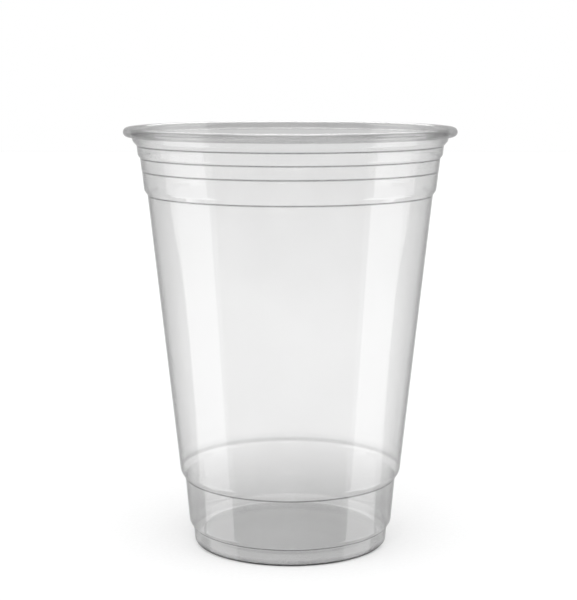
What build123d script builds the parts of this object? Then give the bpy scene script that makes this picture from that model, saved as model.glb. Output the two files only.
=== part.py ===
from build123d import *
from math import radians, tan
import os

# A clear disposable cold drink cup, drawn down from one sheet of plastic. The origin is at the
# bottom centre, +Z is up, all lengths are in millimetres and all angles in degrees.

# Overall sizes
rim_diameter = 95.0  # outside of the rolled rim, the size that lids are sold by
base_diameter = 56.2  # outside of the foot, at the table
height = 121.0
wall = 0.3

# Rolled rim
rim_roll = 2.54  # outside height and width of the roll
rim_straight = 0.8  # upright run of wall that leads into the roll
rim_edge_gap = 0.25  # between the tucked-in edge and the wall
lip_flare = 0.46  # how far the lip leans out from its foot to the roll
lip_bend = 2.0  # radius where the leaning lip turns upright

# Steps under the rim: depth of the crease below the rim's top, how far the wall steps in there,
# how far the ledge falls, and the radius that rounds it into the band above
lip_depth = 5.1
lip_step = 1.1
lip_fall = 1.25
lip_round = 1.5

snap_depth = 8.6
snap_step = 0.64
snap_fall = 0.75
snap_round = 0.9

score_depth = 12.3
score_step = 0.1
score_fall = 0.15
score_round = 0.4

shoulder_depth = 19.1
shoulder_step = 0.95
shoulder_fall = 1.4
shoulder_round = 1.8

band_draft = 6.0  # how far the bands between these creases lean out from upright

# Steps above the foot: height of the crease over the table, how far the wall steps out there,
# how far the ledge rises, and its radius
grip_height = 19.5
grip_step = 1.3
grip_rise = 1.5
grip_round = 3.2

heel_height = 4.9
heel_step = 1.1
heel_rise = 0.9
heel_round = 2.0

base_draft = 5.0  # lean of the two lowest bands

# Foot ring and floor
foot_width = 2.2  # from the outside corner of the foot to its inside corner
foot_round = 0.8
floor_height = 3.2  # the floor's underside over the table
floor_setback = 0.8  # how far the ring's inner side leans in on its way up to the floor
floor_round = 0.5

crease_round = 0.15  # the sharp inner corner at each step

os.makedirs("parts", exist_ok=True)

# The outer skin of the sheet, worked out from the rim downwards
rim_radius = rim_diameter / 2
roll_inside = rim_roll / 2 - wall
roll_start_radius = rim_radius - rim_roll + wall
roll_centre_height = height - rim_roll / 2
tuck_run = roll_inside - rim_edge_gap
steps_under_rim = (
    (lip_depth, lip_step, lip_fall, lip_round),
    (snap_depth, snap_step, snap_fall, snap_round),
    (score_depth, score_step, score_fall, score_round),
    (shoulder_depth, shoulder_step, shoulder_fall, shoulder_round),
)
upper = []
upper_radii = []
radius = roll_start_radius - lip_flare
for depth, step, fall, rounding in steps_under_rim:
    crease = height - depth
    if upper:
        radius -= (upper[-1][1] - crease - fall) * tan(radians(band_draft))
    upper.append((radius, crease + fall))
    radius -= step
    upper.append((radius, crease))
    upper_radii += [rounding, crease_round]

# and from the foot upwards
foot_radius = base_diameter / 2
steps_over_foot = (
    (heel_height, heel_step, heel_rise, heel_round),
    (grip_height, grip_step, grip_rise, grip_round),
)
lower = [(foot_radius, 0)]
lower_radii = [foot_round]
for crease, step, rise, rounding in steps_over_foot:
    radius, below = lower[-1]
    radius += (crease - below) * tan(radians(base_draft))
    lower.append((radius, crease))
    lower.append((radius + step, crease + rise))
    lower_radii += [crease_round, rounding]

ring_inside = foot_radius - foot_width
floor_and_ring = [
    (0, floor_height),
    (ring_inside - floor_setback, floor_height),
    (ring_inside, 0),
]
into_roll = [
    (roll_start_radius, roll_centre_height - rim_straight),
    (roll_start_radius, roll_centre_height),
]
skin_points = floor_and_ring + lower + upper[::-1] + into_roll
skin_radii = [floor_round, foot_round] + lower_radii + upper_radii[::-1] + [lip_bend]

with BuildPart() as cup:
    with BuildSketch(Plane.XZ) as section:
        with BuildLine() as outline:
            # The sheet has its skin on the outside and its inner face one wall to the left
            skin = FilletPolyline(*skin_points, radius=skin_radii)
            inner = offset(skin, amount=wall, side=Side.LEFT, closed=False, mode=Mode.ADD)
            # The roll carries both faces outwards, over and back under to the wall
            roll_skin = JernArc(skin @ 1, (0, 1), roll_inside, -270)
            roll_top = JernArc(skin @ 1 - (wall, 0), (0, 1), roll_inside + wall, -270)
            tuck_skin = Line(roll_skin @ 1, roll_skin @ 1 - (tuck_run, 0))
            tuck_top = Line(roll_top @ 1, roll_top @ 1 - (tuck_run, 0))
            Line(tuck_skin @ 1, tuck_top @ 1)
            Line(skin @ 0, skin @ 0 + (0, wall))
        make_face()
    revolve(axis=Axis.Z)

cup.part.label = "cup"
print("radii of the outer skin", [round(p[0], 2) for p in skin_points])
print("volume", round(cup.part.volume / 1000, 2), "cm3")
export_step(cup.part, "parts/cup.step")
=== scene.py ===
# %% [markdown]
# # A clear disposable cup
#
# The cup is one sheet of clear plastic, drawn down into a mould while it is warm. This file
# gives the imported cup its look: a finer surface, a clear material, a table and studio light.
# The section below is in millimetres, as the cup is drawn, and the scene is in metres.

import bpy
import numpy as np
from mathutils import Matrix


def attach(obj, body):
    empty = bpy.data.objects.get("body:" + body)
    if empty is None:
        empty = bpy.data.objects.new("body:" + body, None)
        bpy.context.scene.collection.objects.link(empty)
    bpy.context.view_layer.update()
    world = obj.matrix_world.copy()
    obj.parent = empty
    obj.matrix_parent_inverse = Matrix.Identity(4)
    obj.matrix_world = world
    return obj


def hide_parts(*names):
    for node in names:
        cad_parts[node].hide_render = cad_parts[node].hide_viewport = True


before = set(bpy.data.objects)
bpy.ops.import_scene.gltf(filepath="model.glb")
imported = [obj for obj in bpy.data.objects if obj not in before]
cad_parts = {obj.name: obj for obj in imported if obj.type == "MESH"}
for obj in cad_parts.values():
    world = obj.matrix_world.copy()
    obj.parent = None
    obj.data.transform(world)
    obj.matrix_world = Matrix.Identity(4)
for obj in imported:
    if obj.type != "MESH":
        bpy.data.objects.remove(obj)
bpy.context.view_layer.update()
scene = bpy.context.scene
MM = 0.001

# %% [markdown]
# ## Camera
#
# The cup is seen from a little above its rim, through a long lens, which keeps its tall sides
# from leaning. The camera comes first, because every later choice of line width and gloss is
# judged through it.

# %% Camera
CAMERA_AT = np.array([-0.5, -442.6, 138.5]) * MM
PITCH_DOWN = np.radians(8.67)
LENS_MM = 92.6
SENSOR_MM = 36.0

camera_data = bpy.data.cameras.new("studio_camera")
camera_data.lens = LENS_MM
camera_data.sensor_fit = "VERTICAL"
camera_data.sensor_height = SENSOR_MM
camera = bpy.data.objects.new("studio_camera", camera_data)
camera.location = CAMERA_AT
camera.rotation_euler = (np.pi / 2 - PITCH_DOWN, 0, 0)
scene.collection.objects.link(camera)
scene.camera = camera
print("camera at", np.round(camera.location, 4), "lens", LENS_MM, "mm")

# %% [markdown]
# ## The sheet's section
#
# On the real cup every ring and step is a fold in one thin sheet. So the section is drawn once,
# as the sheet's outer skin: straight runs with a rounding at each corner. The inner face is the
# same line moved in by the wall. That is exact when each corner keeps its centre and only its
# radius changes, and it keeps the sheet as thin in the folds as in the runs.

# %% Section of the skin
WALL = 0.3
SHARP = 0.15  # the rounding of a crease
STEPS_IN_ARC = 5

# radius from the axis, height, and the rounding of that corner
SKIN = np.array(
    [
        (0.0, 3.2, 0.0),  # middle of the floor's underside
        (25.1, 3.2, 0.5),  # edge of the floor
        (25.9, 0.0, 0.8),  # foot ring
        (28.1, 0.0, 0.8),
        (28.5287, 4.9, SHARP),  # heel
        (29.6287, 5.8, 2.0),
        (30.8273, 19.5, SHARP),  # stacking shoulder
        (32.1273, 21.0, 3.2),
        (40.7776, 101.9, SHARP),  # body's top
        (41.7276, 103.3, 1.8),
        (42.2952, 108.7, SHARP),  # fine score
        (42.3952, 108.85, 0.4),
        (42.7683, 112.4, SHARP),  # lid bands
        (43.4083, 113.15, 0.9),
        (43.6974, 115.9, SHARP),
        (44.8000, 117.15, 1.5),
        (45.2600, 118.93, 2.0),  # lip, where it turns upright
        (45.2600, 119.73, 0.0),
    ]
)


def rounded(corners, shift, steps=STEPS_IN_ARC):
    """A line of straight runs with rounded corners, moved to its left by shift. Each rounding
    turns about a centre that stays where it is, so on a left turn its radius is the corner's
    less the shift, and on a right turn it is the corner's and the shift. Gives the points, and
    the direction of the line at each."""
    at, radius = corners[:, :2], corners[:, 2]
    run = np.diff(at, axis=0)
    run /= np.linalg.norm(run, axis=1)[:, None]
    left = np.stack([-run[:, 1], run[:, 0]], 1)
    before, after = run[:-1], run[1:]
    cross = before[:, 0] * after[:, 1] - before[:, 1] * after[:, 0]
    turn = np.arctan2(cross, (before * after).sum(1))
    side = np.sign(turn)
    start = at[1:-1] - before * (radius[1:-1] * np.tan(abs(turn) / 2))[:, None]
    centre = start + left[:-1] * (radius[1:-1] * side)[:, None]
    angle = turn[:, None] * np.linspace(0, 1, steps)
    cosine, sine = np.cos(angle)[..., None], np.sin(angle)[..., None]
    spoke = (-left[:-1] * side[:, None])[:, None]
    quarter = np.stack([-spoke[..., 1], spoke[..., 0]], -1)
    reach = (radius[1:-1] - shift * side)[:, None, None]
    arcs = centre[:, None] + (spoke * cosine + quarter * sine) * reach
    ahead = before[:, None] * cosine + left[:-1][:, None] * sine
    ends = at[[0, -1]] + left[[0, -1]] * shift
    points = np.concatenate([ends[:1], arcs.reshape(-1, 2), ends[1:]])
    headings = np.concatenate([run[:1], ahead.reshape(-1, 2), run[-1:]])
    return points, headings


skin, skin_heading = rounded(SKIN, 0.0)
lining, lining_heading = rounded(SKIN, WALL)
print("skin", len(skin), "points, lining", len(lining), "points")

# %% [markdown]
# ## The rolled rim
#
# The sheet's edge is curled over outwards while it is hot, three quarters of the way round, and
# tucked back under towards the wall. It makes the thin cup stiff, smooth to drink from, and
# gives a lid something to grip. Both faces of the sheet are arcs about one centre.

# %% Rolled rim
ROLL_CENTRE = np.array([46.23, 119.73])
ROLL_INSIDE = 0.97  # radius of the hollow in the roll
AT_LIP, UNDERNEATH = 180, -90  # degrees round the roll, from where it starts to where it ends
TUCK_RUN = 0.72  # how far the sheet runs on from there, back towards the wall
HALF_TURN = 90, 270  # degrees round the sheet's cut end
ROLL_STEPS = 30
END_STEPS = 5


def arc(centre, radius, first, last, steps):
    """Points on a circle between two angles, each the centre and the radius times (cos a, sin a),
    and the direction of travel there, which is a quarter turn on from the spoke."""
    angle = np.radians(np.linspace(first, last, steps))
    spoke = np.stack([np.cos(angle), np.sin(angle)], 1)
    ahead = np.stack([-spoke[:, 1], spoke[:, 0]], 1) * np.sign(last - first)
    return centre + radius * spoke, ahead


roll_under, under_heading = arc(ROLL_CENTRE, ROLL_INSIDE, AT_LIP, UNDERNEATH, ROLL_STEPS)
roll_over, over_heading = arc(ROLL_CENTRE, ROLL_INSIDE + WALL, UNDERNEATH, AT_LIP, ROLL_STEPS)
edge_centre = ROLL_CENTRE - (TUCK_RUN - WALL / 2, ROLL_INSIDE + WALL / 2)
edge, edge_heading = arc(edge_centre, WALL / 2, *HALF_TURN, END_STEPS)

section = np.concatenate([skin[:-1], roll_under, edge, roll_over, lining[-2::-1]])
heading = np.concatenate(
    [skin_heading[:-1], under_heading, edge_heading, over_heading, -lining_heading[-2::-1]]
)
widest, highest = section.max(0)
print("section", len(section), "points, highest", highest, "widest", widest)

# %% [markdown]
# ## Rows and marks along the sheet
#
# A sharp fold bends light away, so each crease shows as a fine dark line on a clear cup. Here
# that line is painted shade. A material can't feel how sharp a fold is, so each row of the
# section carries its distance along the sheet to the nearest crease, and the painted line is drawn
# from it. A mark is only as fine as the rows that carry it, so rows are added just beside each
# crease, and along the straight runs.

# %% Rows
LONGEST_STRETCH = 4.0
BESIDE_CREASE = 0.6
NEAREST_ROWS = 0.01
DIGITS = 4


def along(points):
    """Length travelled along a line of points, starting from nought."""
    return np.concatenate([[0], np.cumsum(np.linalg.norm(np.diff(points, axis=0), axis=1))])


def resampled(values, old, new):
    """Columns of values known at the old stations, read off at the new ones."""
    return np.stack([np.interp(new, old, column) for column in values.T], 1)


corners_at = along(section)
corner_rows = np.flatnonzero(SKIN[1:-1, 2] == SHARP)
middle_of_arc = 1 + corner_rows * STEPS_IN_ARC + STEPS_IN_ARC // 2
crease_at = corners_at[np.concatenate([middle_of_arc, len(section) - 1 - middle_of_arc])]
even = np.arange(0, corners_at[-1], LONGEST_STRETCH)
beside = [crease_at - BESIDE_CREASE, crease_at + BESIDE_CREASE]
travelled = np.unique(np.round(np.concatenate([corners_at, even, *beside]), DIGITS))
travelled = travelled[np.concatenate([[True], np.diff(travelled) > NEAREST_ROWS])]
travelled[-1] = corners_at[-1]
crease_heights = section[middle_of_arc, 1]
section = resampled(section, corners_at, travelled)
heading = resampled(heading, corners_at, travelled)
heading /= np.linalg.norm(heading, axis=1)[:, None]
outward = np.stack([heading[:, 1], -heading[:, 0]], 1)
print(len(section), "rows, creases at heights", np.round(crease_heights, 2))

# %% [markdown]
# ## How the sheet takes light
#
# The sheet is not alike all over. It is hardly stretched at the rim and the base, where it stays
# thick and takes more light, and it is thinnest half way down the body. Near the rim, above the
# heel and on the floor the sheet is tinted darker than the body, partly for that thickness and
# partly as painted shade, so that the base and the rim read darker. The foot also stands in its
# own shade. Painting this by hand would tie it to one view, so each row carries plain numbers
# read off short tables, by height up the wall or by distance from the axis.

# %% Tables of light
# height up the wall, the share mirrored head on, and the share of light that each face keeps
# kept is lower near the rim and above the heel: partly thicker sheet, partly painted shade
SHEET = np.array(
    [
        (0.0, 0.06, 0.99),
        (4.9, 0.07, 0.985),
        (5.3, 0.095, 0.973),
        (12.0, 0.095, 0.976),
        (19.0, 0.085, 0.982),
        (22.0, 0.05, 0.99),
        (45.0, 0.045, 0.989),
        (67.0, 0.05, 0.989),
        (75.0, 0.052, 0.984),
        (95.0, 0.06, 0.982),
        (103.0, 0.068, 0.975),
        (115.5, 0.068, 0.977),
        (117.5, 0.045, 0.985),
    ]
)
ROLL_SHARE, ROLL_KEPT = 0.1, 0.997
# distance from the axis, the share mirrored head on, the share kept, and how much glancing shine
# the floor keeps least light: partly its thickness, partly painted shade under the cup
BASE = np.array([(0.0, 0.045, 0.9465, 0.1), (24.6, 0.045, 0.9465, 0.1), (25.0, 0.0, 1.0, 0.0)])
# height up the foot's outside, and how much of its shade is there
FOOT_SHADE = np.array(
    [(0.0, 1.0), (0.4, 0.97), (0.6, 0.75), (0.9, 0.25), (4.3, 0.25), (4.9, 0.0)]
)
print("sheet", SHEET.shape, "base", BASE.shape, "foot's shade", FOOT_SHADE.shape)

# %% Marks
ROLL_MARGIN = 0.5
FLOOR_HEIGHT = SKIN[0, 1]
RING_INNER = SKIN[2, 0]
RING_OUTER, _, RING_ROUNDING = SKIN[3]
SHOULDER_HEIGHT = SKIN[6, 1]

roll_row = len(skin) - 1
roll_start = corners_at[roll_row]
roll_edge = corners_at[roll_row + ROLL_STEPS + END_STEPS // 2]
roll_end = corners_at[roll_row + 2 * ROLL_STEPS + END_STEPS]
radius, height = section.T
in_roll = (travelled >= roll_start - ROLL_MARGIN) & (travelled <= roll_end + ROLL_MARGIN)
in_floor = (radius < RING_INNER + WALL) & (height < FLOOR_HEIGHT + 2 * WALL)
in_base = in_floor | (radius < RING_OUTER - WALL) & (height < 2 * WALL)
outside_foot = radius > RING_OUTER - RING_ROUNDING
share = np.interp(height, SHEET[:, 0], SHEET[:, 1])
kept = np.interp(height, SHEET[:, 0], SHEET[:, 2])
share[in_roll] = ROLL_SHARE
kept[in_roll] = ROLL_KEPT
glare = np.ones_like(height)
for values, column in ((share, 1), (kept, 2), (glare, 3)):
    values[in_base] = np.interp(radius[in_base], BASE[:, 0], BASE[:, column])
marks = {
    "from_crease": abs(travelled[:, None] - crease_at).min(1),
    "lining": (travelled > roll_edge).astype(float),
    "share": share,
    "kept": kept,
    "glare": glare,
    "over_shoulder": height - SHOULDER_HEIGHT,
    "foot_shade": np.interp(height, *FOOT_SHADE.T) * outside_foot,
}
for name, values in marks.items():
    print(name, "from", round(values.min(), 3), "to", round(values.max(), 3))

# %% [markdown]
# ## Turning the section
#
# The cup's surface is the section carried round the axis. It could be a Screw modifier, but a
# plain grid gives every point its true normal, so that long straight runs next to tight folds
# don't pick up false shading. Where the section meets the axis the ring shrinks to one point.

# %% Surface of revolution
AROUND = 288


def turned(section, outward, around):
    """A closed surface from a section that starts and ends on the axis. Point (r, z) at angle a
    goes to (r cos a, r sin a, z), and its normal turns the same way. Gives vertices, normals,
    faces and, for each vertex, the row of the section that it came from."""
    angle = np.arange(around) * 2 * np.pi / around
    circle = np.stack([np.cos(angle), np.sin(angle)], 1)

    def spun(pairs):
        """Each pair (r, z) carried round the circle."""
        flat = pairs[:, None, :1] * circle[None]
        high = np.broadcast_to(pairs[:, None, 1:], flat.shape[:2] + (1,))
        return np.concatenate([flat, high], 2)

    rings = spun(section[1:-1])
    ring_normals = spun(outward[1:-1])
    count = len(rings)
    poles = np.array([(0, 0, section[0, 1]), (0, 0, section[-1, 1])])
    pole_normals = np.array([(0, 0, outward[0, 1]), (0, 0, outward[-1, 1])])
    vertices = np.concatenate([poles[:1], rings.reshape(-1, 3), poles[1:]])
    normals = np.concatenate([pole_normals[:1], ring_normals.reshape(-1, 3), pole_normals[1:]])
    place = 1 + np.arange(count * around).reshape(count, around)
    after = np.roll(place, -1, axis=1)
    quads = np.stack([place[:-1], after[:-1], after[1:], place[1:]], -1).reshape(-1, 4)
    first_fan = np.stack([np.zeros(around, int), after[0], place[0]], -1)
    last_fan = np.stack([np.full(around, len(vertices) - 1), place[-1], after[-1]], -1)
    row = np.concatenate([[0], np.repeat(np.arange(1, count + 1), around), [count + 1]])
    return vertices, normals, [*quads.tolist(), *first_fan.tolist(), *last_fan.tolist()], row


vertices, normals, faces, row_of = turned(section, outward, AROUND)
cup_mesh = bpy.data.meshes.new("clear_cup")
cup_mesh.from_pydata((vertices * MM).tolist(), [], faces)
cup_mesh.shade_smooth()
cup_mesh.normals_split_custom_set_from_vertices(normals.tolist())
for name, values in marks.items():
    attribute = cup_mesh.attributes.new(name, "FLOAT", "POINT")
    attribute.data.foreach_set("value", values[row_of].astype(np.float32))
cup = bpy.data.objects.new("clear_cup", cup_mesh)
scene.collection.objects.link(cup)
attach(cup, "root")
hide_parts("cup")
cup_mesh.calc_loop_triangles()
print("cup", len(cup_mesh.vertices), "vertices", len(cup_mesh.loop_triangles), "triangles")

# %% [markdown]
# ## Clear plastic
#
# A clear sheet this thin hardly bends what is behind it: light goes straight on, a little of it
# is lost, and a share is mirrored, small head on and large at a glancing angle. So each face
# mixes a see-through shader and a glossy one by that share. The share is worked out from how
# far the face is turned away, because that reads the same from inside the sheet as from outside.
# Glass with a true thickness would be the other way, but it needs many more bounces of light.

# %% Shader helpers
def node(tree, kind, settings=None, **inputs):
    """A shader node with its settings, and with inputs by name (spaces as _) or number (in_0)
    that are either plain values or sockets to link from."""
    made = tree.nodes.new(kind)
    for key, value in (settings or {}).items():
        setattr(made, key, value)
    for key, value in inputs.items():
        by_number = key.startswith("in_")
        socket = made.inputs[int(key[3:]) if by_number else key.replace("_", " ")]
        if isinstance(value, bpy.types.NodeSocket):
            tree.links.new(value, socket)
        else:
            socket.default_value = value
    return made


def maths(tree, operation, *values):
    """One step of arithmetic on numbers or sockets."""
    inputs = {f"in_{i}": value for i, value in enumerate(values)}
    return node(tree, "ShaderNodeMath", {"operation": operation}, **inputs).outputs[0]


def product(tree, *factors):
    """All the factors multiplied together."""
    result = factors[0]
    for factor in factors[1:]:
        result = maths(tree, "MULTIPLY", result, factor)
    return result


def total(tree, *terms):
    """All the terms added together."""
    result = terms[0]
    for term in terms[1:]:
        result = maths(tree, "ADD", result, term)
    return result


def one_less(tree, value):
    """One less the value."""
    return maths(tree, "SUBTRACT", 1.0, value)


def ramp(tree, value, change, unit=1.0, smooth=True):
    """A value that changes over a stretch and is held at both ends. The change says where it
    starts and ends, counted in unit, and what is given before it and after it."""
    low, high, before, after = change
    limits = {"From_Min": low * unit, "From_Max": high * unit, "To_Min": before, "To_Max": after}
    settings = {"interpolation_type": "SMOOTHSTEP" if smooth else "LINEAR"}
    return node(tree, "ShaderNodeMapRange", settings, Value=value, **limits).outputs["Result"]


def marked(tree, name):
    """One of the marks that the cup's surface carries."""
    return node(tree, "ShaderNodeAttribute", {"attribute_name": name}).outputs["Fac"]


print("helpers ready for", len(marks), "marks")

# %% What a face is
plastic = bpy.data.materials.new("clear_plastic")
plastic.use_nodes = True
tree = plastic.node_tree
tree.nodes.clear()

where = node(tree, "ShaderNodeTexCoord").outputs["Object"]
place = node(tree, "ShaderNodeSeparateXYZ", Vector=where).outputs
away = node(tree, "ShaderNodeLayerWeight", Blend=0.5).outputs["Facing"]
from_behind = node(tree, "ShaderNodeNewGeometry").outputs["Backfacing"]
inside = marked(tree, "lining")
near_skin = one_less(tree, maths(tree, "MAXIMUM", inside, from_behind))
far_lining = product(tree, inside, one_less(tree, from_behind))
print("near wall told by its skin, far wall by its lining")

# %% [markdown]
# ## The mirrored share
#
# Drawn plastic is never quite even, so slow clouds of noise make the share, the roughness and a
# very low bump drift a little from place to place.

# %% Clouds and share
CLOUD_SCALE, CLOUD_DETAIL = 38.0, 3.0
CLOUDS = (0.3, 0.7)  # the stretch of the noise that is used
SHARE_DRIFT = (*CLOUDS, 0.88, 1.12)
ROUGHNESS_DRIFT = (*CLOUDS, 0.02, 0.05)
GLANCING_POWER = 5.0

noise = {"Scale": CLOUD_SCALE, "Detail": CLOUD_DETAIL}
cloudy = node(tree, "ShaderNodeTexNoise", Vector=where, **noise).outputs["Fac"]
head_on = product(tree, marked(tree, "share"), ramp(tree, cloudy, SHARE_DRIFT))
glancing = maths(tree, "POWER", away, GLANCING_POWER)
shine = product(tree, glancing, one_less(tree, head_on), marked(tree, "glare"))
mirrored = total(tree, head_on, shine)
print("share drifts by", SHARE_DRIFT[2:], "roughness", ROUGHNESS_DRIFT[2:])

# %% [markdown]
# ## Lines, bands and shade
#
# Painted shade darkens the sheet's see-through colour in places. On the near wall each crease
# gets a fine painted dark line. On the far wall, seen through the near one, soft bands of painted
# shade lie under the lip, on the bend above the stacking shoulder, below it growing darker down
# to the heel, and round the foot ring. At the very foot a thin dark line is the gap's own shade
# where the cup meets the table. Each is a ramp by height or distance, so it stays put from every
# side.

# %% Painted lines and bands
# each change: where it starts and ends, and what is given before it and after it
# by distance from a crease in mm, and by how far the face is turned away
# painted shade: a fine dark line on the near wall at each crease, for the light a fold bends away
PAINTED_CREASE_LINE = (0.0, 0.42, 0.62, 0.0)
LINE_FADES = (0.8, 0.92, 1.0, 0.3)
# by height over the shoulder in mm
# the rest are soft bands of painted shade on the far wall, seen through the near one
BEND = (2.2, 5.2, 0.1, 0.0)
BEND_START = (1.5, 2.0, 0.0, 1.0)
BEND_LINE = (2.4, 3.4, 0.12, 0.0)
BEND_LINE_START = (1.6, 2.2, 0.0, 1.0)
# by height above the table in mm
LIP = (115.5, 117.5, 0.0, 0.32)
ABOVE_HEEL = (4.8, 5.4, 0.0, 1.0)
BAND = (6.0, 19.0, 0.14, 0.0)
RING = (3.0, 4.6, 0.13, 0.085)
RING_START = (2.4, 3.0, 0.0, 1.0)
# by distance from the axis in mm
BEAD = (45.2, 46.2, 1.0, 0.62)

# the painted crease line, on the near wall's skin only, fainter where the face turns far away
line = product(tree, ramp(tree, marked(tree, "from_crease"), PAINTED_CREASE_LINE), near_skin)
line = product(tree, line, ramp(tree, away, LINE_FADES))
over = marked(tree, "over_shoulder")
bend = product(tree, ramp(tree, over, BEND), ramp(tree, over, BEND_START))
bend_line = product(tree, ramp(tree, over, BEND_LINE), ramp(tree, over, BEND_LINE_START))
squares = [product(tree, place[axis], place[axis]) for axis in "XY"]
from_axis = maths(tree, "SQRT", total(tree, *squares))
lip = product(tree, ramp(tree, place["Z"], LIP, MM), ramp(tree, from_axis, BEAD, MM))
above_heel = ramp(tree, place["Z"], ABOVE_HEEL, MM)
band = product(tree, ramp(tree, place["Z"], BAND, MM, smooth=False), above_heel)
ring = product(tree, ramp(tree, place["Z"], RING, MM), ramp(tree, place["Z"], RING_START, MM))
ring = product(tree, ring, one_less(tree, above_heel))
# all the painted bands together, on the far wall's lining only
far_painted_shade = product(tree, total(tree, bend, bend_line, lip, band, ring), far_lining)
print("deepest line", PAINTED_CREASE_LINE[2], "lip", LIP[3], "band", BAND[2], "ring", RING[2])

# %% [markdown]
# ## The foot's shade
#
# The dark line at the foot is painted on the near wall for the eye. On the table it is thrown
# at the front only, because at the back the cup would show it a second time, through the floor.

# %% Shade, and the light kept
THROWN = (-16.0, -4.0, 0.8, 0.0)  # by depth along the table in mm, counted from the axis

seen = node(tree, "ShaderNodeLightPath").outputs["Is Camera Ray"]
thrown = ramp(tree, place["Y"], THROWN, MM)
contact = product(tree, marked(tree, "foot_shade"), near_skin, maths(tree, "MAXIMUM", seen, thrown))
# see-through colour, darkened by the painted lines, bands and foot shade
clear = product(tree, marked(tree, "kept"), *(one_less(tree, x) for x in (line, far_painted_shade, contact)))
tint = node(tree, "ShaderNodeCombineColor", Red=clear, Green=clear, Blue=clear).outputs["Color"]
print("shade thrown from", THROWN[0], "to", THROWN[1], "mm")

# %% Sheet shader
BUMP_STRENGTH, BUMP_DEPTH = 0.02, 0.2

roughness = ramp(tree, cloudy, ROUGHNESS_DRIFT)
low_bump = {"Strength": BUMP_STRENGTH, "Distance": BUMP_DEPTH * MM}
bump = node(tree, "ShaderNodeBump", Height=cloudy, **low_bump).outputs["Normal"]
see = node(tree, "ShaderNodeBsdfTransparent", Color=tint).outputs[0]
microfacets = {"distribution": "GGX"}
gloss = node(
    tree, "ShaderNodeBsdfAnisotropic", microfacets, Roughness=roughness, Normal=bump
).outputs[0]
surface = node(tree, "ShaderNodeMixShader", in_0=mirrored, in_1=see, in_2=gloss)
node(tree, "ShaderNodeOutputMaterial", Surface=surface.outputs[0])
cup_mesh.materials.append(plastic)
print("clear plastic", len(tree.nodes), "nodes", len(tree.links), "links")

# %% [markdown]
# ## Table
#
# A clear cup shows whatever is behind it, so it stands on a plain pale table. One large face is
# enough, a hair below the foot so that the two don't share a plane. It has a chalky finish with
# a faint fine grain, and the plastic doesn't mirror it, which keeps the soft boxes' images clean.

# %% Table top
TABLE_HALF = 2.0
TABLE_TOP = -0.02 * MM

table_mesh = bpy.data.meshes.new("table_top")
square = np.array([(-1, -1), (1, -1), (1, 1), (-1, 1)]) * TABLE_HALF
table_mesh.from_pydata([(x, y, TABLE_TOP) for x, y in square], [], [(0, 1, 2, 3)])
table = bpy.data.objects.new("table_top", table_mesh)
scene.collection.objects.link(table)
table.visible_glossy = False
print("table", 2 * TABLE_HALF, "m across")

# %% Table's finish
GRAIN_SCALE, GRAIN_DETAIL = 900.0, 4.0
PALENESS = (*CLOUDS, 0.792, 0.808)
CHALKINESS = 0.7
GRAIN_STRENGTH, GRAIN_DEPTH = 0.1, 0.05

white = bpy.data.materials.new("white_table")
white.use_nodes = True
tree = white.node_tree
tree.nodes.clear()
where = node(tree, "ShaderNodeTexCoord").outputs["Object"]
noise = {"Scale": GRAIN_SCALE, "Detail": GRAIN_DETAIL}
fibres = node(tree, "ShaderNodeTexNoise", Vector=where, **noise).outputs["Fac"]
pale = ramp(tree, fibres, PALENESS)
colour = node(tree, "ShaderNodeCombineColor", Red=pale, Green=pale, Blue=pale).outputs["Color"]
low_bump = {"Strength": GRAIN_STRENGTH, "Distance": GRAIN_DEPTH * MM}
grain = node(tree, "ShaderNodeBump", Height=fibres, **low_bump).outputs["Normal"]
chalk = node(tree, "ShaderNodeBsdfDiffuse", Color=colour, Roughness=CHALKINESS, Normal=grain)
node(tree, "ShaderNodeOutputMaterial", Surface=chalk.outputs[0])
table_mesh.materials.append(white)
print("white table", len(tree.nodes), "nodes, paleness", PALENESS[2:])

# %% [markdown]
# ## Studio
#
# The room is white all round. What the cup's gloss mirrors is a darker room with two tall soft
# boxes, one to each side of the front, and low lights behind. They could be glowing panels, but
# then they would also show through the clear sheet. So they are drawn in the world, by azimuth
# and slope, and only mirrored rays see them.

# %% World helpers
ROOM = 1.0

world = bpy.data.worlds.new("studio")
scene.world = world
world.use_nodes = True
tree = world.node_tree
tree.nodes.clear()
direction = node(tree, "ShaderNodeTexCoord").outputs["Generated"]
parts = node(tree, "ShaderNodeSeparateXYZ", Vector=direction).outputs
ahead = maths(tree, "MULTIPLY", parts["Y"], -1.0)
azimuth = maths(tree, "ABSOLUTE", maths(tree, "ARCTAN2", parts["X"], ahead))
slope = maths(tree, "ARCSINE", parts["Z"])


def by_degrees(angle, low, high, before, after):
    """A value that changes as the angle goes from low to high degrees."""
    return ramp(tree, angle, (np.radians(low), np.radians(high), before, after))


print("azimuth runs from 0 in front to 180 behind, slope from -90 to 90 degrees")

# %% Soft boxes and low lights
# each change: where it starts and ends in degrees, and what is given before it and after it
BOX_INNER = (67, 69, 0.0, 1.0)  # by azimuth
BOX_OUTER_SOFTNESS = 2
BOX_OUTER = [(-27, -17, 118, 104), (-16, -11, 0, 8)]  # by slope, the outer edge's azimuth
BOX_LEVEL = [  # by slope, added up
    (-50, -42, 0.0, 1.3),
    (-29, -26, 0.0, -0.42),
    (-14, -10, 0.0, -0.4),
    (10, 14, 0.0, 0.4),
    (42, 50, 0.0, -0.88),
]
LOW_BACK = [(118, 128, 0.05, 0.12), (128, 143, 0.0, 0.42), (145, 170, 0.0, 0.06)]  # by azimuth
HIGH_BACK_SLOPE = [(24, 30, 0.0, 4.0), (70, 78, 1.0, 0.0)]
HIGH_BACK = (150, 160, 0.0, 1.0)  # by azimuth

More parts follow.
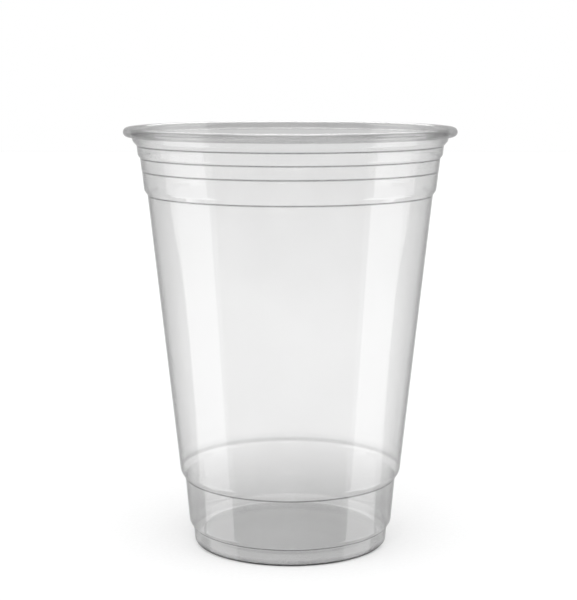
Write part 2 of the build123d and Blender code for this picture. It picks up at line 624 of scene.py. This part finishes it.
outer_steps = [
    by_degrees(slope, low, high, np.radians(before), np.radians(after))
    for low, high, before, after in BOX_OUTER
]
beyond = maths(tree, "SUBTRACT", azimuth, total(tree, *outer_steps))
outer_edge = by_degrees(beyond, 0, BOX_OUTER_SOFTNESS, 1.0, 0.0)
box_level = total(tree, *(by_degrees(slope, *change) for change in BOX_LEVEL))
box = product(tree, by_degrees(azimuth, *BOX_INNER), outer_edge, box_level)
low_back = total(tree, *(by_degrees(azimuth, *change) for change in LOW_BACK))
high_slopes = [by_degrees(slope, *change) for change in HIGH_BACK_SLOPE]
high_back = product(tree, *high_slopes, by_degrees(azimuth, *HIGH_BACK))
mirror_level = total(tree, box, low_back, high_back)
print("soft boxes from", BOX_INNER[0], "to", BOX_OUTER[0][2], "degrees")

# %% World output
is_mirror = node(tree, "ShaderNodeLightPath").outputs["Is Glossy Ray"]
levels = {"in_0": is_mirror, "in_2": ROOM, "in_3": mirror_level}
level = node(tree, "ShaderNodeMix", {"data_type": "FLOAT"}, **levels).outputs[0]
background = node(tree, "ShaderNodeBackground", Color=(1, 1, 1, 1), Strength=level)
node(tree, "ShaderNodeOutputWorld", Surface=background.outputs[0])
scene.view_settings.view_transform = "Standard"
scene.cycles.transparent_max_bounces = 64
print("world", len(tree.nodes), "nodes", len(tree.links), "links")

# %% [markdown]
# ## Light overhead
#
# A wide, weak sun, from above and a little in front of the cup, gives the table its even
# brightness. An angle of 60 degrees makes its shadows very soft, and the plastic doesn't
# mirror it.

# %% Soft light overhead
LAMP_ENERGY = 1.2
LAMP_ANGLE = 60
LAMP_TILT = 15

lamp_data = bpy.data.lights.new("overhead", "SUN")
lamp_data.energy = LAMP_ENERGY
lamp_data.angle = np.radians(LAMP_ANGLE)
lamp = bpy.data.objects.new("overhead", lamp_data)
lamp.rotation_euler = (np.radians(LAMP_TILT), 0, 0)
scene.collection.objects.link(lamp)
lamp.visible_glossy = False
print("sun", LAMP_ENERGY, "over", LAMP_ANGLE, "degrees")
